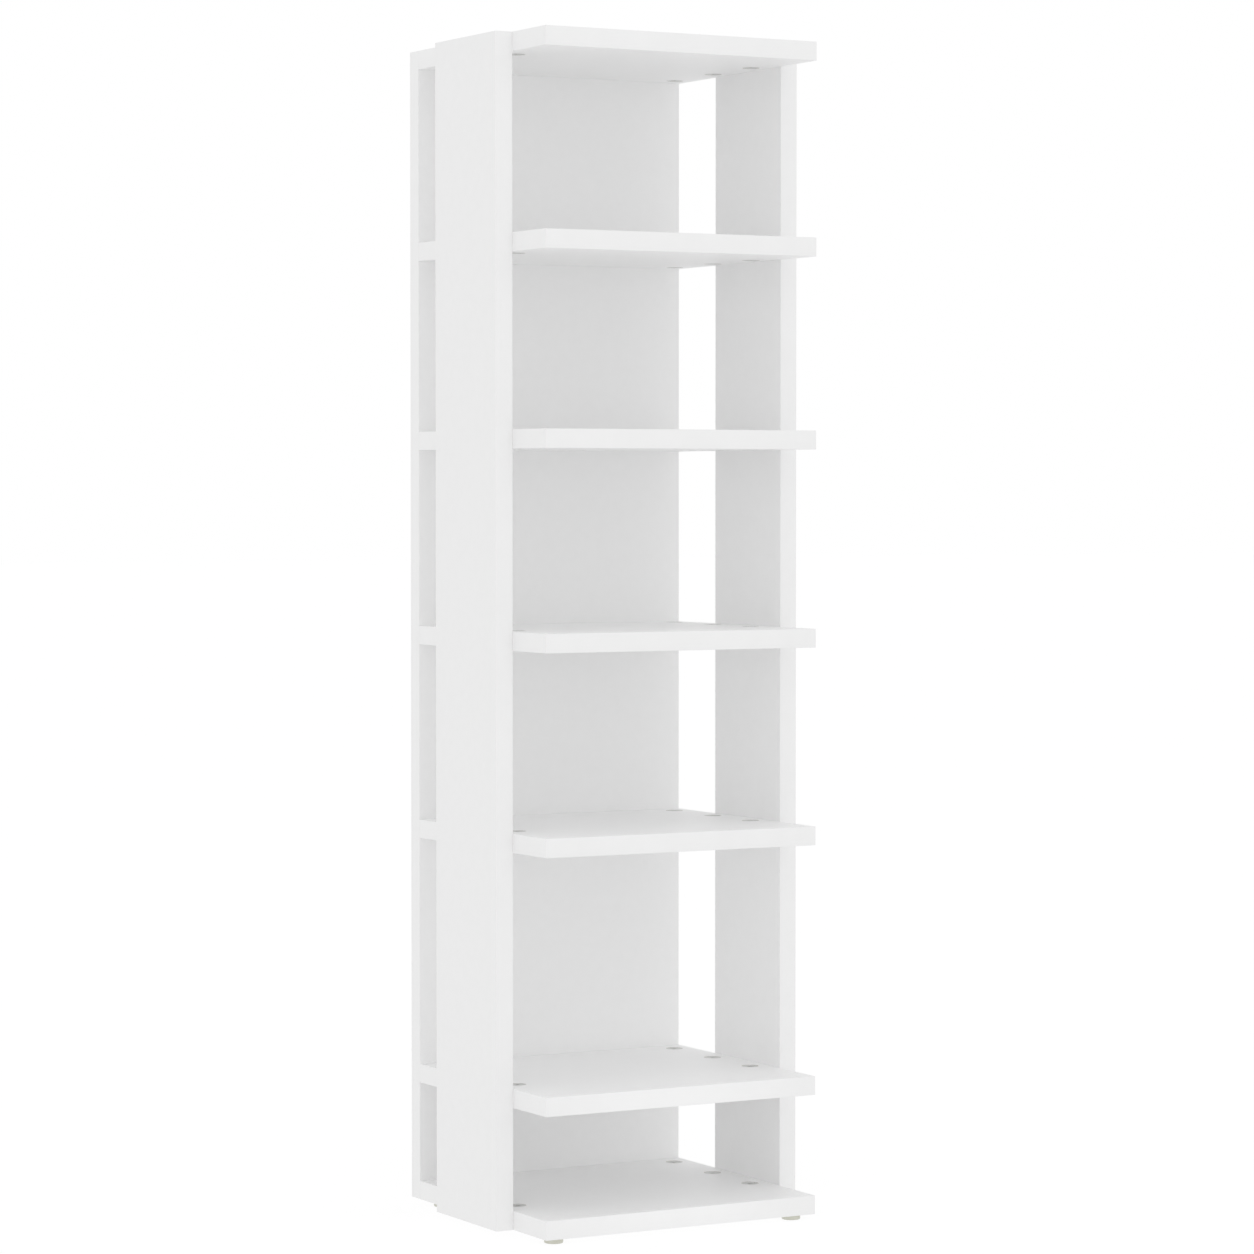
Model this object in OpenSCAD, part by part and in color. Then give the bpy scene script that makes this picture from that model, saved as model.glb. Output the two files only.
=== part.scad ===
// Open tower shelf: seven boards held by two narrow side panels and a back panel.
// Every joint is a knock-down one: two cam locks with their bolts, and one dowel.
// Millimetres, +Z up, front faces -Y. The origin is on the floor, under the middle.

/* [Boards] */
// Width of a board, between the side panels
board_w = 260; // [180:1:600]
// Depth of a board, front edge to back panel
board_d = 232; // [190:1:400]
// Thickness of a board
board_t = 16; // [14:0.5:25]

/* [Compartments] */
// Clear height of the top compartment
gap_1 = 149; // [60:1:400]
// Clear height of the second compartment
gap_2 = 147; // [60:1:400]
// Clear height of the third compartment
gap_3 = 152; // [60:1:400]
// Clear height of the fourth compartment
gap_4 = 152; // [60:1:400]
// Clear height of the fifth compartment, the tall one
gap_5 = 197; // [60:1:400]
// Clear height of the bottom compartment
gap_6 = 86; // [60:1:400]

/* [Panels] */
// Width of a side panel, front to back
side_panel_d = 110; // [90:1:120]
// Distance from the boards' front edge back to the side panels
side_panel_setback = 58; // [20:1:65]
// Thickness of a side panel
side_panel_t = 16; // [14:0.5:25]
// Thickness of the back panel
back_panel_t = 16; // [14:0.5:25]

/* [Edging] */
// Thickness of the edge banding glued round every board and panel
band_t = 0.5; // [0.4:0.1:2]

/* [Cam locks] */
// Diameter of the bore that a cam lock sits in
cam_bore_d = 15; // [12:0.5:18]
// Distance from a board's end to the axis of a side joint's cam locks
side_cam_inset = 16; // [14:0.5:24]
// Distance from a board's rear edge to the axis of a back joint's cam locks
back_cam_inset = 20; // [14:0.5:24]
// Distance between the two cam locks of a side joint
side_cam_spacing = 64; // [50:1:72]
// Distance from a board's end to the cam locks of the back joint
back_cam_from_end = 16; // [14:0.5:40]
// Number of boards, counted from the floor, whose cam locks face up
boards_with_cams_up = 4; // [0:1:7]

/* [Bolts and dowels] */
// Diameter of a cam bolt's head
bolt_head_d = 6.8; // [6:0.1:7.4]
// Diameter of the bore that a cam bolt's shank lies in
bolt_bore_d = 8; // [7.6:0.1:9]
// Diameter of the threaded end in the panel
bolt_thread_d = 5; // [4:0.1:6.5]
// Length of the threaded end in the panel
bolt_thread_l = 11; // [8:0.5:12]
// Diameter of a dowel
dowel_d = 8; // [6:0.5:8]
// Length of a dowel
dowel_l = 30; // [25:1:35]
// How far a dowel reaches into its panel
dowel_in_panel = 11; // [8:0.5:12]

/* [Feet] */
// Diameter of a foot glide
glide_d = 16; // [12:0.5:24]
// Height of a foot glide, without its adhesive disc
glide_h = 4.2; // [3:0.1:10]
// Thickness of the adhesive disc that holds a glide
adhesive_t = 0.8; // [0.4:0.1:2]
// Distance from a board's edges to the axis of a glide
glide_inset = 15; // [13:0.5:30]

/* [Hidden] */
$fn = 48;

melamine_white = [0.94, 0.94, 0.93];
edging_white = [0.97, 0.97, 0.96];
zinc_grey = [0.62, 0.62, 0.60];
bolt_steel = [0.75, 0.74, 0.66];
beech = [0.80, 0.65, 0.45];
glide_beige = [0.80, 0.80, 0.73];
adhesive_white = [0.88, 0.88, 0.86];

slip = 0.1;            // clearance on the diameter of every fastener in its bore
cut = 0.5;             // how far a cutting shape runs past the face that it cuts
band_seam = 0.04;      // hairline between two bands at a corner

// Heights: board 0 is the bottom board and board 6 the top one
clear_heights = [gap_6, gap_5, gap_4, gap_3, gap_2, gap_1];
board_count = len(clear_heights) + 1;
floor_gap = glide_h + adhesive_t;
function stacked(i) = i == 0 ? 0 : clear_heights[i - 1] + board_t + stacked(i - 1);
function underside(i) = floor_gap + stacked(i);
function cams_up(i) = i < boards_with_cams_up;
panel_h = stacked(board_count - 1) + board_t;

// Places across the floor
half_w = board_w / 2;
front_y = -(board_d + back_panel_t) / 2;
rear_y = front_y + board_d;
side_panel_y = front_y + side_panel_setback;
side_joint_y = side_panel_y + side_panel_d / 2;

// A joint: the middle of its seam on the panel's face, the way its bolts point,
// the distance between its cam locks, and how far they stand back from the seam
LEFT = [[-half_w, side_joint_y], 180, side_cam_spacing, side_cam_inset];
RIGHT = [[half_w, side_joint_y], 0, side_cam_spacing, side_cam_inset];
BACK = [[0, rear_y], 90, board_w - 2 * back_cam_from_end, back_cam_inset];
JOINTS = [LEFT, RIGHT, BACK];
function spacing(joint) = joint[2];
function inset(joint) = joint[3];

// Cam lock: a die-cast drum with a jaw that pulls the bolt's head
cam_rim_d = cam_bore_d - slip;
cam_drum_d = cam_bore_d - 0.6;
cam_rim_t = 1;
cam_below_bolt = 4.5;                      // drum left past the bolt's axis
cam_h = board_t / 2 + cam_below_bolt;
cam_slot_l = 8;
cam_slot_w = 1.6;
cam_slot_h = 1.8;
cam_clearance = 0.3;                       // round the bolt's head and neck

// Cam bolt, measured from the face of the panel that it is screwed into
bolt_head_t = 3;
bolt_neck_d = 3.8;
bolt_collar_t = 1.2;
bolt_collar_d = bolt_bore_d - 2 * slip;
bolt_shank_d = bolt_head_d - 0.4;
bolt_tip_l = 1.5;
thread_pitch = 1.6;
thread_depth = 0.5;
pilot_d = bolt_thread_d + slip;

dowel_chamfer = 1;
dowel_bore_d = dowel_d + slip;
dowel_end_gap = 0.5;                       // room for glue at the board's end of a bore

glide_bevel = 0.6;
adhesive_d = glide_d - 2;

module at_joint(joint) {
    translate(joint[0]) rotate(joint[1]) children();
}

// Both cam lock places of a joint, at the height of board i's cam face.
// The drum hangs down from the face, so it is turned over where the face is below.
module at_cams(joint, i) {
    at_joint(joint)
        for (side = [-1, 1])
            translate([-inset(joint), side * spacing(joint) / 2, underside(i) + (cams_up(i) ? board_t : 0)])
                mirror([0, 0, cams_up(i) ? 0 : 1]) children();
}

// Both bolt places of a joint, at the middle of board i's thickness
module at_bolts(joint, i) {
    at_joint(joint)
        for (side = [-1, 1])
            translate([0, side * spacing(joint) / 2, underside(i) + board_t / 2]) rotate([0, 90, 0]) children();
}

module at_dowel(joint, i) {
    at_joint(joint) translate([0, 0, underside(i) + board_t / 2]) rotate([0, 90, 0]) children();
}

// Everything that is drilled in board i: cam bores, bolt bores and dowel bores
module board_bores(i) {
    board_part = dowel_l - dowel_in_panel + dowel_end_gap;
    for (joint = JOINTS) {
        at_cams(joint, i) translate([0, 0, -cam_h]) cylinder(d = cam_bore_d, h = cam_h + cut);
        at_bolts(joint, i) translate([0, 0, -inset(joint)]) cylinder(d = bolt_bore_d, h = inset(joint) + cut);
        at_dowel(joint, i) translate([0, 0, -board_part]) cylinder(d = dowel_bore_d, h = board_part + cut);
    }
}

// Everything that is drilled in the panel of one joint
module panel_bores(joint) {
    for (i = [0 : board_count - 1]) {
        at_bolts(joint, i) translate([0, 0, -cut]) cylinder(d = pilot_d, h = cut + bolt_thread_l + slip);
        at_dowel(joint, i) translate([0, 0, -cut]) cylinder(d = dowel_bore_d, h = cut + dowel_in_panel);
    }
}

// A slab from one corner, without the strip that its banding takes off the edges
// that lie along the two given directions
module core(corner, size, inset_by) {
    translate(corner + inset_by) cube(size - 2 * inset_by);
}

// Four bands round a slab. a is the direction that the long bands cover from end to
// end, b the direction that the short bands fill between them, as axis numbers.
module bands(corner, size, a, b) {
    function along(axis, value) = [for (k = [0 : 2]) k == axis ? value : 0];
    short_start = band_t + band_seam;
    for (far = [0, 1]) {
        translate(corner + along(b, far * (size[b] - band_t)))
            cube([for (k = [0 : 2]) k == b ? band_t : size[k]]);
        translate(corner + along(b, short_start) + along(a, far * (size[a] - band_t)))
            cube([for (k = [0 : 2]) k == a ? band_t : k == b ? size[k] - 2 * short_start : size[k]]);
    }
}

function board_corner(i) = [-half_w, front_y, underside(i)];
board_size = [board_w, board_d, board_t];
left_panel_corner = [-half_w - side_panel_t, side_panel_y, floor_gap];
right_panel_corner = [half_w, side_panel_y, floor_gap];
side_panel_size = [side_panel_t, side_panel_d, panel_h];
back_panel_corner = [-half_w, rear_y, floor_gap];
back_panel_size = [board_w, back_panel_t, panel_h];

module board(i) {
    color(melamine_white)
        difference() {
            core(board_corner(i), board_size, [band_t, band_t, 0]);
            board_bores(i);
        }
}

module board_edging(i) {
    color(edging_white)
        difference() {
            bands(board_corner(i), board_size, 0, 1);
            board_bores(i);
        }
}

module side_panel(corner, joint) {
    color(melamine_white)
        difference() {
            core(corner, side_panel_size, [0, band_t, band_t]);
            panel_bores(joint);
        }
}

module top_board() { board(6); }
module shelf_2() { board(5); }
module shelf_3() { board(4); }
module shelf_4() { board(3); }
module shelf_5() { board(2); }
module shelf_6() { board(1); }
module bottom_board() { board(0); }
module left_side_panel() { side_panel(left_panel_corner, LEFT); }
module right_side_panel() { side_panel(right_panel_corner, RIGHT); }

module back_panel() {
    color(melamine_white)
        difference() {
            core(back_panel_corner, back_panel_size, [band_t, 0, band_t]);
            panel_bores(BACK);
        }
}

module top_board_edging() { board_edging(6); }
module shelf_2_edging() { board_edging(5); }
module shelf_3_edging() { board_edging(4); }
module shelf_4_edging() { board_edging(3); }
module shelf_5_edging() { board_edging(2); }
module shelf_6_edging() { board_edging(1); }
module bottom_board_edging() { board_edging(0); }
module left_side_panel_edging() { color(edging_white) bands(left_panel_corner, side_panel_size, 2, 1); }
module right_side_panel_edging() { color(edging_white) bands(right_panel_corner, side_panel_size, 2, 1); }
module back_panel_edging() { color(edging_white) bands(back_panel_corner, back_panel_size, 2, 0); }

// One cam lock, with its face at z = 0, its drum below and its bolt coming in from +X
module cam_lock() {
    head_pocket_l = bolt_head_t + 2 * cam_clearance;
    difference() {
        union() {
            translate([0, 0, -cam_h]) cylinder(d = cam_drum_d, h = cam_h);
            translate([0, 0, -cam_rim_t]) cylinder(d = cam_rim_d, h = cam_rim_t);
        }
        for (turn = [0, 90])
            rotate(turn) translate([-cam_slot_l / 2, -cam_slot_w / 2, -cam_slot_h])
                cube([cam_slot_l, cam_slot_w, cam_slot_h + cut]);
        translate([0, 0, -board_t / 2]) rotate([0, 90, 0]) {
            cylinder(d = bolt_neck_d + 2 * cam_clearance, h = cam_drum_d);
            translate([0, 0, -head_pocket_l / 2])
                cylinder(d = bolt_head_d + 2 * cam_clearance, h = head_pocket_l);
        }
    }
}

// One cam bolt on the Z axis: z = 0 is the panel's face and the thread is above it
module cam_bolt(joint) {
    head_back = -inset(joint) - bolt_head_t / 2;
    head_front = head_back + bolt_head_t;
    shank_end = -inset(joint) + cam_bore_d / 2 + cam_clearance;
    root_r = bolt_thread_d / 2 - thread_depth;
    thread_turns = floor((bolt_thread_l - bolt_tip_l) / thread_pitch);
    rotate_extrude()
        polygon(concat(
            [[0, head_back], [bolt_head_d / 2, head_back], [bolt_head_d / 2, head_front],
             [bolt_neck_d / 2, head_front], [bolt_neck_d / 2, shank_end],
             [bolt_shank_d / 2, shank_end], [bolt_shank_d / 2, -bolt_collar_t],
             [bolt_collar_d / 2, -bolt_collar_t], [bolt_collar_d / 2, 0]],
            [for (turn = [0 : thread_turns - 1], half = [0, 1])
                [root_r + half * thread_depth, (turn + half / 2) * thread_pitch]],
            [[root_r, thread_turns * thread_pitch], [root_r, bolt_thread_l - bolt_tip_l], [0, bolt_thread_l]]));
}

// One dowel on the Z axis, seated on the bottom of its bore in the panel
module dowel() {
    translate([0, 0, dowel_in_panel - dowel_l])
        rotate_extrude()
            polygon([[0, 0], [dowel_d / 2 - dowel_chamfer, 0], [dowel_d / 2, dowel_chamfer],
                     [dowel_d / 2, dowel_l - dowel_chamfer], [dowel_d / 2 - dowel_chamfer, dowel_l],
                     [0, dowel_l]]);
}

module cam_locks(joint) {
    color(zinc_grey) for (i = [0 : board_count - 1]) at_cams(joint, i) cam_lock();
}

module cam_bolts(joint) {
    color(bolt_steel) for (i = [0 : board_count - 1]) at_bolts(joint, i) cam_bolt(joint);
}

module dowels(joint) {
    color(beech) for (i = [0 : board_count - 1]) at_dowel(joint, i) dowel();
}

module left_cam_locks() { cam_locks(LEFT); }
module right_cam_locks() { cam_locks(RIGHT); }
module back_cam_locks() { cam_locks(BACK); }
module left_cam_bolts() { cam_bolts(LEFT); }
module right_cam_bolts() { cam_bolts(RIGHT); }
module back_cam_bolts() { cam_bolts(BACK); }
module left_dowels() { dowels(LEFT); }
module right_dowels() { dowels(RIGHT); }
module back_dowels() { dowels(BACK); }

module at_glides() {
    for (x = [-1, 1], y = [front_y + glide_inset, rear_y - glide_inset])
        translate([x * (half_w - glide_inset), y, 0]) children();
}

// A moulded disc that stands on a flat underside with a bevelled edge
module foot_glides() {
    color(glide_beige)
        at_glides()
            rotate_extrude()
                polygon([[0, 0], [glide_d / 2 - glide_bevel, 0], [glide_d / 2, glide_bevel],
                         [glide_d / 2, glide_h], [0, glide_h]]);
}

module glide_adhesive_discs() {
    color(adhesive_white) at_glides() translate([0, 0, glide_h]) cylinder(d = adhesive_d, h = adhesive_t);
}

top_board();
shelf_2();
shelf_3();
shelf_4();
shelf_5();
shelf_6();
bottom_board();
left_side_panel();
right_side_panel();
back_panel();
top_board_edging();
shelf_2_edging();
shelf_3_edging();
shelf_4_edging();
shelf_5_edging();
shelf_6_edging();
bottom_board_edging();
left_side_panel_edging();
right_side_panel_edging();
back_panel_edging();
left_cam_locks();
right_cam_locks();
back_cam_locks();
left_cam_bolts();
right_cam_bolts();
back_cam_bolts();
left_dowels();
right_dowels();
back_dowels();
foot_glides();
glide_adhesive_discs();
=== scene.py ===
"""Open tower shelf of white melamine boards: finishes, modelled pieces, studio and camera.

Each finished piece stands for the CAD node that it is named after, and lies inside that node's box.
"""
import math
from collections import namedtuple

import bmesh
import bpy
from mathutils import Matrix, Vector


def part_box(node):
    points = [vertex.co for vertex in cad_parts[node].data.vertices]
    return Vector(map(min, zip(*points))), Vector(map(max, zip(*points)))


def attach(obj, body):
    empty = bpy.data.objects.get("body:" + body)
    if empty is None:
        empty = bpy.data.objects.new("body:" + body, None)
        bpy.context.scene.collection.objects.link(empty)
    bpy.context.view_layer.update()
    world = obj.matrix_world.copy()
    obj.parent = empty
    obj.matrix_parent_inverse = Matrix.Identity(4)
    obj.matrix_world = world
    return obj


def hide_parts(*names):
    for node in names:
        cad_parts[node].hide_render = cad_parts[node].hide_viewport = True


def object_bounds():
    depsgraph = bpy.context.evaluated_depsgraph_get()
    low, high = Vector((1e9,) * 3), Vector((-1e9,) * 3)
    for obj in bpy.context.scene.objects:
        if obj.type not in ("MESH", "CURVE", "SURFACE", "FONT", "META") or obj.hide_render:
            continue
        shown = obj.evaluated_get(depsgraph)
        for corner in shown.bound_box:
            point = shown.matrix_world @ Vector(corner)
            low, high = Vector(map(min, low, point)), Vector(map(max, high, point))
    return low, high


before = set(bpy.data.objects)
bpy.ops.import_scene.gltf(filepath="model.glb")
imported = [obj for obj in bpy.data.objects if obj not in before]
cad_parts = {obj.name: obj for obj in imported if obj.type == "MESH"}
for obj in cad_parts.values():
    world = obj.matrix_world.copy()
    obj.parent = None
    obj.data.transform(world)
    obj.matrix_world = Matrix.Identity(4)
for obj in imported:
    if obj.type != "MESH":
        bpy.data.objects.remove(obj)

MM = 0.001
MICRON = 0.001 * MM
CAD_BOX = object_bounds()

BOARDS = ("top_board", "shelf_2", "shelf_3", "shelf_4", "shelf_5", "shelf_6", "bottom_board")
BOARDS_WITH_CAMS_UP = ("shelf_4", "shelf_5", "shelf_6", "bottom_board")
PANELS = {"left": "left_side_panel", "right": "right_side_panel", "back": "back_panel"}
X, Y, Z = Vector((1, 0, 0)), Vector((0, 1, 0)), Vector((0, 0, 1))


# ---------------------------------------------------------------- finishes

class Value:
    """An output socket, with arithmetic that adds Math nodes."""

    def __init__(self, net, socket):
        self.net = net
        self.socket = socket

    def __add__(self, other):
        return self.net.math("ADD", self, other)

    def __mul__(self, other):
        return self.net.math("MULTIPLY", self, other)

    def __sub__(self, other):
        return self.net.math("SUBTRACT", self, other)

    def __rsub__(self, other):
        return self.net.math("SUBTRACT", other, self)

    __radd__, __rmul__ = __add__, __mul__

    def below(self, limit):
        return self.net.math("LESS_THAN", self, limit)

    def clamped(self):
        return self.net.node("Clamp", {}, {"Value": self})


class Net:
    """The nodes of one finish."""

    def __init__(self, name):
        self.material = bpy.data.materials.new(name)
        self.material.use_nodes = True
        self.tree = self.material.node_tree
        self.tree.nodes.clear()

    def node(self, kind, settings=None, inputs=None, output=0):
        """Adds a node of a kind, sets its settings and then its sockets, and gives one output."""
        made = self.tree.nodes.new("ShaderNode" + kind)
        for name, setting in (settings or {}).items():
            if name == "stops":
                ramp = made.color_ramp.elements
                ramp.remove(ramp[1])
                ramp[0].position, ramp[0].color = setting[0]
                for place, colour in setting[1:]:
                    ramp.new(place).color = colour
            else:
                setattr(made, name, setting)
        for name, value in (inputs or {}).items():
            if isinstance(value, Value):
                self.tree.links.new(value.socket, made.inputs[name])
            else:
                made.inputs[name].default_value = value
        return Value(self, made.outputs[output]) if made.outputs else None

    def math(self, operation, *terms):
        return self.node("Math", {"operation": operation}, dict(enumerate(terms)))

    def place(self, stretch=(1, 1, 1), shift=(0, 0, 0)):
        """The surface's own place in metres, stretched for a grain or a streak."""
        here = self.node("TexCoord", output="Object")
        return self.node("Mapping", {}, {"Vector": here, "Location": shift, "Scale": stretch})

    def noise(self, where, size, detail=2.0, roughness=0.5):
        """Noise from 0 to 1 whose blotches are about as wide as size, in metres."""
        sockets = {"Vector": where, "Scale": 1 / size, "Detail": detail, "Roughness": roughness}
        return self.node("TexNoise", {}, sockets, "Fac")

    def cells(self, where, size, output="Distance"):
        """Cells about as wide as size, as the distance from their middles or as their colours."""
        return self.node("TexVoronoi", {}, {"Vector": where, "Scale": 1 / size}, output)

    def ramp(self, value, *stops):
        return self.node("ValToRGB", {"stops": stops}, {"Fac": value}, "Color")

    def blend(self, factor, colour, other):
        """One colour into another, by a factor from 0 to 1."""
        return self.node("Mix", {"data_type": "RGBA"}, {0: factor, 6: colour, 7: other}, 2)

    def relief(self, height, depth, strength=1.0):
        """A bump whose height runs from 0 to 1 over a real depth in metres."""
        return self.node("Bump", {}, {"Height": height, "Distance": depth, "Strength": strength}, "Normal")

    def closed(self, shader):
        """Ends the finish with its shader."""
        self.node("OutputMaterial", {}, {"Surface": shader})
        return self.material

    def principled(self, **sockets):
        """Ends the finish with a principled shader; an underscore in a name stands for a space."""
        named = {name.replace("_", " "): value for name, value in sockets.items()}
        return self.closed(self.node("BsdfPrincipled", {}, named, "BSDF"))


def grey(level, warmth=0):
    """A near-neutral colour, a little less blue as its warmth goes up."""
    return (level, level, level * (1 - warmth), 1)


def melamine_finish():
    """Melamine paper pressed on chipboard: satin white with a fine pearl grain."""
    net = Net("white_melamine")
    here = net.place()
    pearl = net.noise(here, 0.55 * MM, 3.0, 0.55)
    mottle = net.noise(here, 9 * MM, 4.0, 0.6)
    handling = net.noise(net.place((1, 1, 0.35), (3, 5, 1)), 120 * MM, 3.0, 0.55)
    colour = net.blend(mottle * 0.6 + pearl * 0.4, grey(0.90), grey(0.955))
    return net.principled(
        Base_Color=colour,
        Roughness=0.36 + handling * 0.10 + pearl * 0.08,
        IOR=1.48,
        Normal=net.relief(pearl * 0.75 + mottle * 0.25, 0.045 * MM, 0.8))


def edging_finish(name, along):
    """Edge banding: a smoother white with faint scraper lines along its length."""
    net = Net(name)
    stretch = tuple(0.02 if axis == along else 1 for axis in range(3))
    lines = net.noise(net.place(stretch), 0.35 * MM, 2.0, 0.5)
    cloud = net.noise(net.place(), 22 * MM, 3.0, 0.55)
    colour = net.blend(cloud * 0.7 + lines * 0.3, grey(0.905), grey(0.96))
    return net.principled(
        Base_Color=colour,
        Roughness=0.30 + lines * 0.10 + cloud * 0.05,
        IOR=1.5,
        Normal=net.relief(lines, 0.022 * MM, 0.7))


def chipboard_finish():
    """The sawn inside of the board, which the bores and the glued edges show."""
    net = Net("raw_chipboard")
    chips = net.cells(net.place((1, 1, 2.2)), 2.4 * MM, "Color")
    tone = net.node("RGBToBW", {}, {"Color": chips})
    fibre = net.noise(net.place((1, 1, 3)), 0.5 * MM, 4.0, 0.65)
    colour = net.ramp(tone * 0.7 + fibre * 0.3, (0.15, (0.22, 0.13, 0.065, 1)),
                      (0.5, (0.44, 0.29, 0.155, 1)), (0.85, (0.62, 0.44, 0.26, 1)))
    return net.principled(Base_Color=colour, Roughness=0.82 + fibre * 0.12,
                          Normal=net.relief(tone * 0.6 + fibre * 0.4, 0.25 * MM))


def zinc_finish():
    """Die-cast zinc: dull silver with a frosted skin."""
    net = Net("die_cast_zinc")
    here = net.place()
    frost = net.noise(here, 0.7 * MM, 4.0, 0.6)
    stain = net.noise(here, 5 * MM, 2.0, 0.5)
    colour = net.blend(stain * 0.6 + frost * 0.4, (0.60, 0.60, 0.59, 1), (0.78, 0.78, 0.765, 1))
    return net.principled(Base_Color=colour, Metallic=0.88, Roughness=0.40 + frost * 0.22,
                          Normal=net.relief(frost, 0.03 * MM, 0.7))


def plated_steel_finish():
    """Bolts: steel with a pale yellow zinc plating."""
    net = Net("zinc_plated_steel")
    here = net.place()
    haze = net.noise(here, 3 * MM, 3.0, 0.6)
    fine = net.noise(here, 0.4 * MM, 2.0, 0.5)
    colour = net.blend(haze, (0.66, 0.64, 0.53, 1), (0.74, 0.73, 0.69, 1))
    return net.principled(Base_Color=colour, Metallic=1.0, Roughness=0.24 + fine * 0.16,
                          Normal=net.relief(fine, 0.01 * MM, 0.6))


def beech_finish(name, along):
    """Beech, with its grain and its short dark flecks along one axis."""
    net = Net(name)
    grain = net.noise(net.place(tuple(0.08 if axis == along else 1 for axis in range(3))), 0.8 * MM, 4.0, 0.6)
    fleck = net.cells(net.place(tuple(0.25 if axis == along else 1 for axis in range(3))), 0.9 * MM)
    wood = net.ramp(grain, (0.25, (0.50, 0.33, 0.18, 1)), (0.75, (0.70, 0.51, 0.31, 1)))
    colour = net.blend(fleck.below(0.14), wood, (0.36, 0.21, 0.11, 1))
    return net.principled(Base_Color=colour, Roughness=0.62 + grain * 0.18,
                          Normal=net.relief(grain, 0.12 * MM))


def glide_finish():
    """Moulded natural plastic: pale beige, satin, darker and rougher in its lowest 1.2 mm, next to the floor.
    """
    net = Net("natural_moulded_plastic")
    here = net.place()
    cloud = net.noise(here, 4 * MM, 3.0, 0.55)
    skin = net.noise(here, 0.35 * MM, 3.0, 0.6)
    height = net.node("SeparateXYZ", {}, {"Vector": here}, "Z")
    # Darker and rougher towards the bottom: a blotchy band that fades out 1.2 mm above the floor.
    low_dark_band = (1 - height * (1 / (1.2 * MM))).clamped() * skin
    plain_colour = net.blend(cloud, (0.62, 0.62, 0.53, 1), (0.70, 0.70, 0.62, 1))
    colour = net.blend(low_dark_band * 0.7, plain_colour, (0.42, 0.41, 0.36, 1))
    return net.principled(Base_Color=colour, Roughness=0.38 + skin * 0.18 + low_dark_band * 0.2,
                          IOR=1.5, Normal=net.relief(skin, 0.03 * MM, 0.8))


def foam_finish():
    """Adhesive foam: off-white with open pores."""
    net = Net("adhesive_foam")
    pores = net.cells(net.place(), 0.28 * MM)
    colour = net.blend(pores, grey(0.60, 0.04), grey(0.80, 0.03))
    return net.principled(Base_Color=colour, Roughness=0.75 + pores * 0.2,
                          Normal=net.relief(pores, 0.08 * MM))


MELAMINE = melamine_finish()
CHIPBOARD = chipboard_finish()
EDGING = [edging_finish("white_edging_" + "xyz"[axis], axis) for axis in range(3)]
ZINC = zinc_finish()
PLATED_STEEL = plated_steel_finish()
BEECH = [beech_finish("beech_" + "xy"[axis], axis) for axis in range(2)]
GLIDE_PLASTIC = glide_finish()
FOAM = foam_finish()


# ---------------------------------------------------------------- modelling

def clear_selection():
    """Leaves edit mode, with nothing selected."""
    if bpy.context.mode != "OBJECT":
        bpy.ops.object.mode_set(mode="OBJECT")
    bpy.ops.object.select_all(action="DESELECT")


def pick(piece):
    """Makes a piece the only one that is selected, and the active one."""
    clear_selection()
    piece.select_set(True)
    bpy.context.view_layer.objects.active = piece


def settle(piece):
    """Moves a piece's place, turn and scale into its mesh, so that its object sits at the origin."""
    pick(piece)
    bpy.ops.object.transform_apply(location=True, rotation=True, scale=True)
    return piece


def block(name, low, high):
    """A closed block between two corners."""
    clear_selection()
    bpy.ops.mesh.primitive_cube_add(size=1, location=(low + high) / 2, scale=high - low)
    bpy.context.object.name = name
    return settle(bpy.context.object)


def rod(radius, start, end, sides=32):
    """A closed round bar between two points."""
    clear_selection()
    axis = end - start
    bpy.ops.mesh.primitive_cylinder_add(vertices=sides, radius=radius, depth=axis.length,
                                        location=(start + end) / 2,
                                        rotation=axis.to_track_quat("Z", "Y").to_euler())
    return settle(bpy.context.object)


def is_level(face, height):
    """Whether a face lies flat at a height."""
    return all(abs(v.co.z - height) < MICRON / 10 for v in face.verts)


def turned(name, profile, sides=32):
    """A turned piece on the Z axis, from a profile of (radius, height) from its foot to its top."""
    (radius, foot), (next_radius, height) = profile[:2]
    clear_selection()
    bpy.ops.mesh.primitive_cone_add(vertices=sides, radius1=radius, radius2=next_radius,
                                    depth=height - foot, location=(0, 0, (foot + height) / 2))
    piece = settle(bpy.context.object)
    piece.name = name
    edit(piece, faces=lambda face: is_level(face, height))
    for radius, top in profile[2:]:
        bpy.ops.mesh.extrude_region_move(TRANSFORM_OT_translate={"value": (0, 0, top - height)})
        grow = radius / next_radius
        bpy.ops.transform.resize(value=(grow, grow, 1), center_override=(0, 0, top))
        next_radius, height = radius, top
    clear_selection()
    return piece


def join(name, pieces):
    """Joins pieces into the first of them, under a new name."""
    pick(pieces[0])
    for piece in pieces:
        piece.select_set(True)
    if len(pieces) > 1:
        bpy.ops.object.join()
    pieces[0].name = name
    return pieces[0]


def edit(piece, faces=None, edges=None, points=None):
    """Opens a piece in edit mode with only the faces, edges or points that a test picks."""
    pick(piece)
    bpy.ops.object.mode_set(mode="EDIT")
    bpy.ops.mesh.select_mode(type="FACE" if faces else "EDGE" if edges else "VERT")
    bpy.ops.mesh.select_all(action="DESELECT")
    mesh = bmesh.from_edit_mesh(piece.data)
    for part in (mesh.faces if faces else mesh.edges if edges else mesh.verts):
        if (faces or edges or points)(part):
            part.select_set(True)
    bmesh.update_edit_mesh(piece.data)


def round_edges(piece, edges, radius, segments=3):
    """Rounds the edges that a test picks."""
    edit(piece, edges=edges)
    bpy.ops.mesh.bevel(offset=radius, segments=segments, profile=0.5, affect="EDGES", clamp_overlap=True)
    clear_selection()


def merge_slivers(piece):
    """Merges points that lie within a micron of each other, and drops the faces that this flattens."""
    edit(piece, points=lambda point: True)
    bpy.ops.mesh.remove_doubles(threshold=MICRON)
    bpy.ops.mesh.dissolve_degenerate(threshold=MICRON)
    clear_selection()


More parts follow.
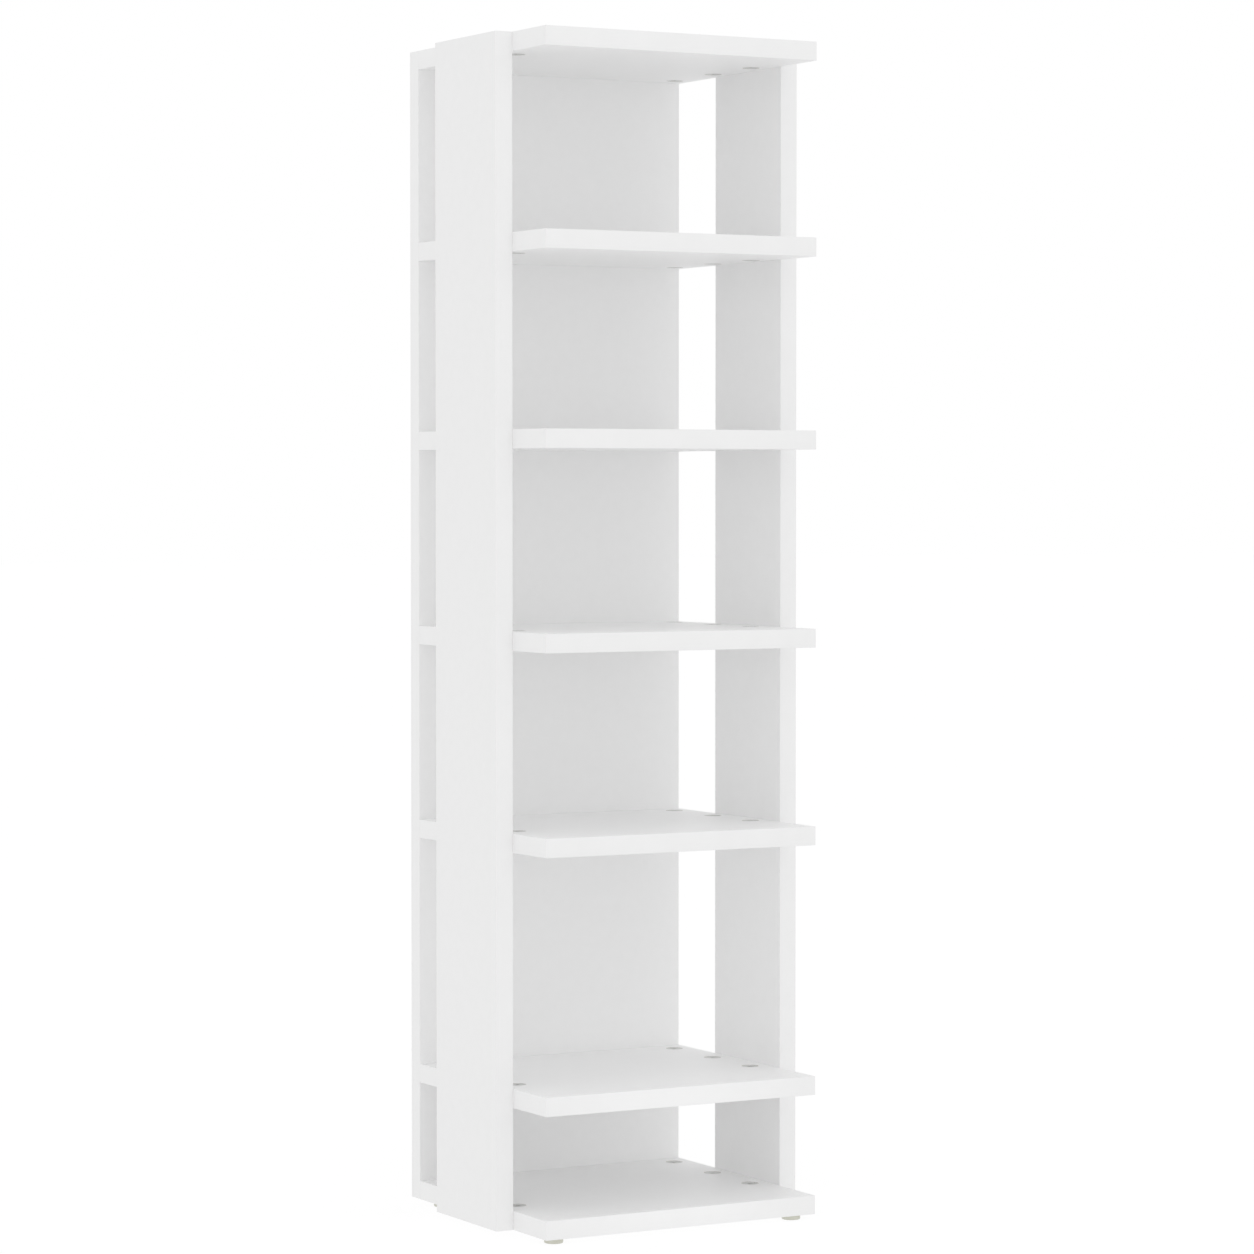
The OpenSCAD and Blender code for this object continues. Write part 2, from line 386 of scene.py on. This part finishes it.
def carve(piece, cutters, operation="DIFFERENCE"):
    """Takes the cutters' shapes out of a piece, or adds them to it."""
    tool = join("tool", cutters)
    pick(piece)
    step = piece.modifiers.new("carve", "BOOLEAN")
    step.operation, step.solver, step.object = operation, "EXACT", tool
    bpy.ops.object.modifier_apply(modifier=step.name)
    bpy.data.objects.remove(tool)
    merge_slivers(piece)


def face_outwards(piece):
    """Merges a spun or wound shell's doubles, and turns its faces outwards."""
    edit(piece, points=lambda point: True)
    bpy.ops.mesh.remove_doubles(threshold=MICRON)
    bpy.ops.mesh.normals_make_consistent(inside=False)
    clear_selection()
    return piece


def smooth(piece, degrees=30):
    """Shades a piece smooth across edges that turn by less than an angle."""
    pick(piece)
    bpy.ops.object.shade_smooth_by_angle(angle=math.radians(degrees))
    return piece


def paint(piece, *finishes):
    """Gives a piece its finishes."""
    for finish in finishes:
        piece.data.materials.append(finish)
    return piece


def copy_to(model, place, turn=(0, 0, 0)):
    """A copy of a model that stands at the origin, with its own mesh, turned and moved to its place."""
    made = model.copy()
    made.data = model.data.copy()
    bpy.context.collection.objects.link(made)
    made.location, made.rotation_euler = place, turn
    return settle(made)


def stand_in(piece, node):
    """Makes a finished piece stand for its CAD node."""
    piece.name = node + "_finished"
    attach(piece, "root")
    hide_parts(node)


# ---------------------------------------------------------------- joints

Board = namedtuple("Board", "name low high cams_up")
Joint = namedtuple("Joint", "side seam out along spacing inset")

BORE_PLAY = 0.1 * MM            # on the diameter, round a cam lock, a thread or a dowel
BOLT_BORE_PLAY = 0.2 * MM       # on the diameter, round a bolt
END_PLAY = 0.5 * MM             # past the end of a dowel
THREAD_END_PLAY = 0.1 * MM
OVERRUN = 0.5 * MM              # how far a drill starts outside the face
THREAD_D = 5 * MM


def read_joint(side, out):
    """A joint's seam on its panel's face, and the places of its fasteners, from their boxes."""
    low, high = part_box(side + "_cam_locks")
    panel_low, panel_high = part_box(PANELS[side])
    along = Z.cross(out)
    span = high - low
    middle = (low + high) / 2
    inset = min(panel_low.dot(out), panel_high.dot(out)) - middle.dot(out)
    seam = middle + out * inset
    seam.z = 0
    return Joint(side, seam, out, along, abs(span.dot(along)) - abs(span.dot(out)), inset)


def spot(joint, outwards, sideways, height):
    """A point of a joint: how far out into its panel, how far along its seam, and its height."""
    return joint.seam + joint.out * outwards + joint.along * sideways + Z * height


BOARD_BOXES = [Board(name, *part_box(name), name in BOARDS_WITH_CAMS_UP) for name in BOARDS]
JOINTS = [read_joint("left", -X), read_joint("right", X), read_joint("back", Y)]
BOARD_T = BOARD_BOXES[-1].high.z - BOARD_BOXES[-1].low.z
CAM_LOW, CAM_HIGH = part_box("left_cam_locks")
BOLT_LOW, BOLT_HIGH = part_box("left_cam_bolts")
DOWEL_LOW, DOWEL_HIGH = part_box("left_dowels")
CAM_RIM_D = CAM_HIGH.x - CAM_LOW.x
CAM_H = BOARD_BOXES[-1].high.z - CAM_LOW.z
COLLAR_D = BOLT_HIGH.y - BOLT_LOW.y - JOINTS[0].spacing
DOWEL_D = DOWEL_HIGH.y - DOWEL_LOW.y
DOWEL_L = DOWEL_HIGH.x - DOWEL_LOW.x
SIDE_FACE = JOINTS[0].seam.x
DOWEL_IN_PANEL = SIDE_FACE - DOWEL_LOW.x
THREAD_L = SIDE_FACE - BOLT_LOW.x


def middle_height(board):
    """The height of a board's bolts and dowels."""
    return (board.low.z + board.high.z) / 2


def cam_places(joint, board):
    """Where a joint's two cam locks have the middle of their faces on a board."""
    height = board.high.z if board.cams_up else board.low.z
    return [spot(joint, -joint.inset, side * joint.spacing / 2, height) for side in (-1, 1)]


def cam_bores(board):
    """The bores in a board's face, for its cam locks."""
    inwards = -Z if board.cams_up else Z
    return [rod((CAM_RIM_D + BORE_PLAY) / 2, place - inwards * OVERRUN, place + inwards * CAM_H, 48)
            for joint in JOINTS for place in cam_places(joint, board)]


def edge_bores(board, depth_limit=1.0):
    """The bores in a board's edges, for its bolts and its dowels."""
    bores = []
    for joint in JOINTS:
        height = middle_height(board)
        for side in (-1, 1):
            across = side * joint.spacing / 2
            bores.append(rod((COLLAR_D + BOLT_BORE_PLAY) / 2, spot(joint, OVERRUN, across, height),
                             spot(joint, -min(joint.inset, depth_limit), across, height)))
        dowel_depth = min(DOWEL_L - DOWEL_IN_PANEL + END_PLAY, depth_limit)
        bores.append(rod((DOWEL_D + BORE_PLAY) / 2, spot(joint, OVERRUN, 0, height),
                         spot(joint, -dowel_depth, 0, height)))
    return bores


def panel_bores(joint):
    """The bores in a panel's face, for the bolts' threads and the dowels."""
    bores = []
    for board in BOARD_BOXES:
        height = middle_height(board)
        for side in (-1, 1):
            across = side * joint.spacing / 2
            bores.append(rod((THREAD_D + BORE_PLAY) / 2, spot(joint, -OVERRUN, across, height),
                             spot(joint, THREAD_L + THREAD_END_PLAY, across, height), 24))
        bores.append(rod((DOWEL_D + BORE_PLAY) / 2, spot(joint, -OVERRUN, 0, height),
                         spot(joint, DOWEL_IN_PANEL, 0, height)))
    return bores


# ---------------------------------------------------------------- boards, panels and edging

GLUE_LINE = 0.05 * MM           # the hairline between a board's face and its edging
ARRIS = 0.32 * MM               # the trimmed edge of the edging
BAND_SEAM = 0.04 * MM           # the hairline between two bands at a corner
BAND_DRILL_DEPTH = 2 * MM       # deep enough to go right through a band


def slab(node, thick, bores):
    """A board or panel: pressed white faces on chipboard, drilled for its fasteners."""
    low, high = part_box(node)
    piece = block(node + "_finished", low, high)
    levels = (low[thick], high[thick])

    def on_face(point):
        return min(abs(point.co[thick] - level) for level in levels) < MICRON

    round_edges(piece, lambda edge: all(on_face(v) for v in edge.verts), GLUE_LINE, 1)
    for cutters in bores:
        carve(piece, cutters())
    paint(piece, MELAMINE, CHIPBOARD)
    for face in piece.data.polygons:
        on_skin = min(abs(face.center[thick] - level) for level in levels) < GLUE_LINE
        face.material_index = 0 if on_skin else 1
    stand_in(piece, node)


def edging(node, long_way, short_way, bores=None):
    """Four bands round a board or panel: two run the long way end to end, two fit between them."""
    core_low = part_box(node)[0]
    low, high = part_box(node + "_edging")
    thick = 3 - long_way - short_way
    band = core_low[long_way] - low[long_way]
    pieces = []
    for way, other in ((long_way, short_way), (short_way, long_way)):
        for far in (False, True):
            start, end = low.copy(), high.copy()
            if far:
                start[other] = end[other] - band
            else:
                end[other] = start[other] + band
            if way == short_way:
                start[way] += band + BAND_SEAM
                end[way] -= band + BAND_SEAM
            outside = end[other] if far else start[other]
            strip = block(node + "_band", start, end)

            def outer(edge):
                on_outside = all(abs(v.co[other] - outside) < MICRON for v in edge.verts)
                a, b = (v.co for v in edge.verts)
                return on_outside and (way == long_way or abs(a[thick] - b[thick]) < MICRON)

            round_edges(strip, outer, ARRIS)
            pieces.append(paint(strip, EDGING[way]))
    piece = join(node, pieces)
    if bores:
        carve(piece, bores())
    smooth(piece, 35)
    stand_in(piece, node + "_edging")


for board in BOARD_BOXES:
    slab(board.name, 2, [lambda: cam_bores(board), lambda: edge_bores(board)])
    edging(board.name, 0, 1, lambda: edge_bores(board, BAND_DRILL_DEPTH))
for joint in JOINTS[:2]:
    slab(PANELS[joint.side], 0, [lambda: panel_bores(joint)])
    edging(PANELS[joint.side], 2, 1)
slab("back_panel", 1, [lambda: panel_bores(JOINTS[2])])
edging("back_panel", 2, 0)


# ---------------------------------------------------------------- fasteners

def cam_lock():
    """One die-cast cam lock: its face at z = 0, its drum below, and its bolt coming in from +X."""
    rim, drum = CAM_RIM_D / 2, CAM_RIM_D / 2 - 0.25 * MM
    rim_thick, face_edge, face_recess = 1.0 * MM, 0.15 * MM, 0.3 * MM
    bolt_z = -BOARD_T / 2
    piece = turned("cam_lock", [
        (drum - 0.5 * MM, -CAM_H), (drum, -CAM_H + 0.5 * MM), (drum, -rim_thick - 0.1 * MM),
        (rim, -rim_thick), (rim, -face_edge), (rim - face_edge, 0), (rim - 0.75 * MM, 0),
        (rim - 0.95 * MM, -face_recess)], 48)

    chamber_r, chamber_half = 4.6 * MM, 3.75 * MM
    carve(piece, [rod(chamber_r, Vector((0, 0, bolt_z - chamber_half)),
                      Vector((0, 0, bolt_z + chamber_half)), 32)])

    mouth_depth, mouth_w, mouth_turn = 4.2 * MM, 4.6 * MM, -math.radians(100)
    bpy.ops.mesh.primitive_cube_add(size=1, location=(6.2 * MM, 0, bolt_z),
                                    scale=(mouth_depth, mouth_w, mouth_w))
    mouth = settle(bpy.context.object)
    edit(mouth, faces=lambda face: face.normal.y > 0.9)
    bpy.ops.mesh.spin(steps=9, angle=mouth_turn, center=(0, 0, bolt_z), axis=(0, 0, 1))
    carve(piece, [face_outwards(mouth)])

    slot_l, slot_w, slot_deep, slot_turn = 8.0 * MM, 1.6 * MM, 2.0 * MM, math.radians(38)
    for turn in (0, math.pi / 2):
        bpy.ops.mesh.primitive_cube_add(size=1, location=(0, 0, 0), scale=(slot_l, slot_w, 2 * slot_deep))
        blade = settle(bpy.context.object)
        edit(blade, faces=lambda face: face.normal.z < -0.9)
        bpy.ops.transform.resize(value=(0.72, 0.7, 1), center_override=(0, 0, -slot_deep))
        clear_selection()
        blade.rotation_euler = (0, 0, turn + slot_turn)
        settle(blade)
        carve(piece, [blade])

    pointer_thick = 0.4 * MM
    bpy.ops.mesh.primitive_cone_add(vertices=3, radius1=1.1 * MM, radius2=0.85 * MM, depth=pointer_thick,
                                    location=(rim - 2.35 * MM, 0, -pointer_thick / 2),
                                    rotation=(0, 0, -math.pi / 2))
    pointer = settle(bpy.context.object)
    carve(piece, [pointer], "UNION")
    return smooth(paint(piece, ZINC), 30)


def cam_bolt(inset):
    """One cam bolt on the Z axis: z = 0 is its panel's face and its thread is above that."""
    head_r, neck_r, shank_r, collar_r = 3.4 * MM, 1.9 * MM, 3.2 * MM, COLLAR_D / 2
    half_head, collar_foot, tip_l = 1.5 * MM, -1.2 * MM, 1.5 * MM
    pitch, depth, half_ridge = 1.6 * MM, 0.55 * MM, 0.62 * MM
    root_r = THREAD_D / 2 - depth
    head_back = -inset - half_head
    head_front = -inset + half_head
    shank_end = -inset + CAM_RIM_D / 2 + 0.4 * MM
    piece = turned("cam_bolt", [
        (head_r - 0.5 * MM, head_back), (head_r, head_back + 0.5 * MM), (head_r, head_front - 0.2 * MM),
        (head_r - 0.3 * MM, head_front), (neck_r, head_front), (neck_r, shank_end),
        (shank_r - 0.3 * MM, shank_end), (shank_r, shank_end + 0.3 * MM), (shank_r, collar_foot),
        (collar_r - 0.2 * MM, collar_foot), (collar_r, collar_foot + 0.2 * MM), (collar_r, 0),
        (root_r, 0), (root_r, THREAD_L - tip_l), (0.25 * MM, THREAD_L)], 24)
    turns = int((THREAD_L - 2 * MM) / pitch)
    clear_selection()
    bpy.ops.mesh.primitive_circle_add(vertices=4, radius=1, fill_type="NOTHING",
                                      location=(root_r - 0.02 * MM, 0, 0.75 * MM),
                                      rotation=(math.pi / 2, 0, 0))
    bpy.context.object.scale = (depth, half_ridge, 1)
    ridge = settle(bpy.context.object)
    wind = ridge.modifiers.new("wind", "SCREW")
    wind.steps = wind.render_steps = 16
    wind.iterations, wind.screw_offset = turns, pitch
    bpy.ops.object.modifier_apply(modifier=wind.name)
    bpy.ops.object.mode_set(mode="EDIT")
    bpy.ops.mesh.select_all(action="SELECT")
    bpy.ops.mesh.fill_holes(sides=4)
    carve(piece, [face_outwards(ridge)], "UNION")
    return smooth(paint(piece, PLATED_STEEL), 30)


def dowel(name, finish):
    """One fluted beech dowel on the Z axis, from its panel end up."""
    radius, chamfer, sides = DOWEL_D / 2, 1.0 * MM, 48
    piece = turned(name, [(radius - chamfer, 0), (radius, chamfer), (radius, DOWEL_L - chamfer),
                          (radius - chamfer, DOWEL_L)], sides)
    step = math.tau / sides

    def in_flute(point):
        return round(math.atan2(point.co.y, point.co.x) / step - 0.5) % 4 == 0

    edit(piece, points=in_flute)
    bpy.ops.transform.resize(value=(0.91, 0.91, 1), center_override=(0, 0, 0))
    clear_selection()
    return smooth(paint(piece, finish), 25)


def remove(*models):
    """Takes away models that have been copied to their places."""
    for model in models:
        bpy.data.objects.remove(model)


lock = cam_lock()
for joint in JOINTS:
    heading = math.atan2(joint.out.y, joint.out.x)
    bolt = cam_bolt(joint.inset)
    peg = dowel("dowel", BEECH[1 if joint.side == "back" else 0])
    locks, bolts, pegs = [], [], []
    for board in BOARD_BOXES:
        height = middle_height(board)
        for place in cam_places(joint, board):
            turn = (0, 0, heading) if board.cams_up else (math.pi, 0, heading)
            locks.append(copy_to(lock, place, turn))
        for side in (-1, 1):
            bolts.append(copy_to(bolt, spot(joint, 0, side * joint.spacing / 2, height),
                                 (0, math.pi / 2, heading)))
        pegs.append(copy_to(peg, spot(joint, DOWEL_IN_PANEL, 0, height), (0, -math.pi / 2, heading)))
    stand_in(join("locks", locks), joint.side + "_cam_locks")
    stand_in(join("bolts", bolts), joint.side + "_cam_bolts")
    stand_in(join("pegs", pegs), joint.side + "_dowels")
    remove(bolt, peg)
remove(lock)


# ---------------------------------------------------------------- feet

GLIDE_LOW, GLIDE_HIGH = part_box("foot_glides")
DISC_LOW, DISC_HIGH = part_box("glide_adhesive_discs")


def glide(radius):
    """One moulded glide on the Z axis: a bevelled foot, a slight draft, and a dimple underneath."""
    top = GLIDE_HIGH.z
    piece = turned("glide", [
        (radius - 0.9 * MM, 0), (radius - 0.35 * MM, 0.22 * MM), (radius - 0.08 * MM, 0.7 * MM),
        (radius, 1.3 * MM), (radius, 1.5 * MM), (radius - 0.1 * MM, top - 0.45 * MM),
        (radius - 0.35 * MM, top - 0.12 * MM), (radius - 0.7 * MM, top)], 64)
    edit(piece, faces=lambda face: is_level(face, 0))
    bpy.ops.mesh.inset(thickness=2.2 * MM)
    bpy.ops.mesh.inset(thickness=0.3 * MM, depth=-0.35 * MM)
    bpy.ops.mesh.inset(thickness=3.2 * MM)
    bpy.ops.mesh.inset(thickness=0.15 * MM, depth=0.2 * MM)
    clear_selection()
    return smooth(paint(piece, GLIDE_PLASTIC), 28)


def adhesive_disc(radius):
    """One foam disc on the Z axis, pressed a little out of its edge."""
    low, high = DISC_LOW.z, DISC_HIGH.z
    height = high - low
    edge, quarter = radius - 0.18 * MM, radius - 0.03 * MM
    piece = turned("disc", [(edge, low), (quarter, low + height * 0.25), (radius, low + height * 0.5),
                            (quarter, low + height * 0.75), (edge, high)], 64)
    return smooth(paint(piece, FOAM), 40)


def glide_places(radius):
    """The middles of the four glides, from the corners of their box."""
    low, high = GLIDE_LOW, GLIDE_HIGH
    return [Vector((x, y, 0)) for x in (low.x + radius, high.x - radius)
            for y in (low.y + radius, high.y - radius)]


GLIDE_R = 8 * MM
PAD_R = GLIDE_R - 1 * MM
FOOT_TURNS = (0.3, 1.7, 2.6, 4.1)
foot, pad = glide(GLIDE_R), adhesive_disc(PAD_R)
feet = [copy_to(foot, place, (0, 0, turn)) for place, turn in zip(glide_places(GLIDE_R), FOOT_TURNS)]
pads = [copy_to(pad, place, (0, 0, turn)) for place, turn in zip(glide_places(GLIDE_R), FOOT_TURNS)]
stand_in(join("feet", feet), "foot_glides")
stand_in(join("pads", pads), "glide_adhesive_discs")
remove(foot, pad)


# ---------------------------------------------------------------- studio

def floor_finish():
    """A seamless pale floor, which glows so that only soft contact shadows show on it."""
    net = Net("pale_floor")
    colour = net.blend(net.noise(net.place(), 0.6), grey(0.88), grey(0.92))
    diffuse = net.node("BsdfDiffuse", {}, {"Color": colour, "Roughness": 0.5}, "BSDF")
    glow = net.node("Emission", {}, {"Color": grey(1.0), "Strength": 1.04}, "Emission")
    return net.closed(net.node("MixShader", {}, {0: 0.85, 1: diffuse, 2: glow}, "Shader"))


FLOOR_SIZE = 60
clear_selection()
bpy.ops.mesh.primitive_plane_add(size=FLOOR_SIZE, location=(0, 0, 0))
floor = bpy.context.object
floor.name = "studio_floor"
paint(floor, floor_finish())
floor.visible_diffuse = floor.visible_glossy = False

scene = bpy.context.scene
scene.view_settings.view_transform = "Standard"
scene.view_settings.look = "None"
# White boards light each other many times over.
scene.cycles.diffuse_bounces = 12
scene.cycles.max_bounces = 16


def studio_world(strength):
    """White light from all round, with a pure white backdrop behind the object."""
    world = bpy.data.worlds.new("white_studio")
    world.use_nodes = True
    nodes, links = world.node_tree.nodes, world.node_tree.links
    rays = nodes.new("ShaderNodeLightPath")
    level = nodes.new("ShaderNodeMapRange")
    level.inputs["To Min"].default_value = strength
    level.inputs["To Max"].default_value = 1.0
    background = nodes["Background"]
    background.inputs["Color"].default_value = (1, 1, 1, 1)
    links.new(rays.outputs["Is Camera Ray"], level.inputs["Value"])
    links.new(level.outputs["Result"], background.inputs["Strength"])
    return world


def softbox(name, azimuth, elevation, size, watts, distance, target, spread=180):
    """A square soft light that looks at a target; its grid narrows its spread, in degrees."""
    turn, lift = math.radians(azimuth), math.radians(elevation)
    away = Vector((math.sin(turn) * math.cos(lift), -math.cos(turn) * math.cos(lift), math.sin(lift)))
    clear_selection()
    bpy.ops.object.light_add(type="AREA", location=target + away * distance)
    lamp = bpy.context.object
    lamp.name = name
    lamp.rotation_euler = away.to_track_quat("Z", "Y").to_euler()
    lamp.data.shape = "SQUARE"
    lamp.data.size = size
    lamp.data.energy = watts
    lamp.data.spread = math.radians(spread)
    lamp.visible_camera = False


SURROUND_LIGHT = 0.88
SHELF_MIDDLE = (CAD_BOX[0] + CAD_BOX[1]) / 2
LOW_OPENING = Vector((SHELF_MIDDLE.x, CAD_BOX[0].y, 65 * MM))
scene.world = studio_world(SURROUND_LIGHT)
softbox("front_softbox", -15, 14, 3.5, 6, 4, SHELF_MIDDLE)
softbox("top_softbox", -20, 70, 1.5, 5, 4, SHELF_MIDDLE)
softbox("low_fill", -20, 0, 0.14, 0.004, 0.9, LOW_OPENING, 12)

CAMERA_PLACE = (-1.74406, -3.12745, 0.62219)
CAMERA_PITCH, CAMERA_TURN = math.radians(90 - 1.890), -math.radians(29.368)
LENS, SENSOR_WIDTH = 119.774, 36
camera_data = bpy.data.cameras.new("studio_camera")
camera = bpy.data.objects.new("studio_camera", camera_data)
bpy.context.collection.objects.link(camera)
camera_data.sensor_width = SENSOR_WIDTH
camera_data.lens = LENS
camera.location = CAMERA_PLACE
camera.rotation_euler = (CAMERA_PITCH, 0, CAMERA_TURN)
scene.camera = camera
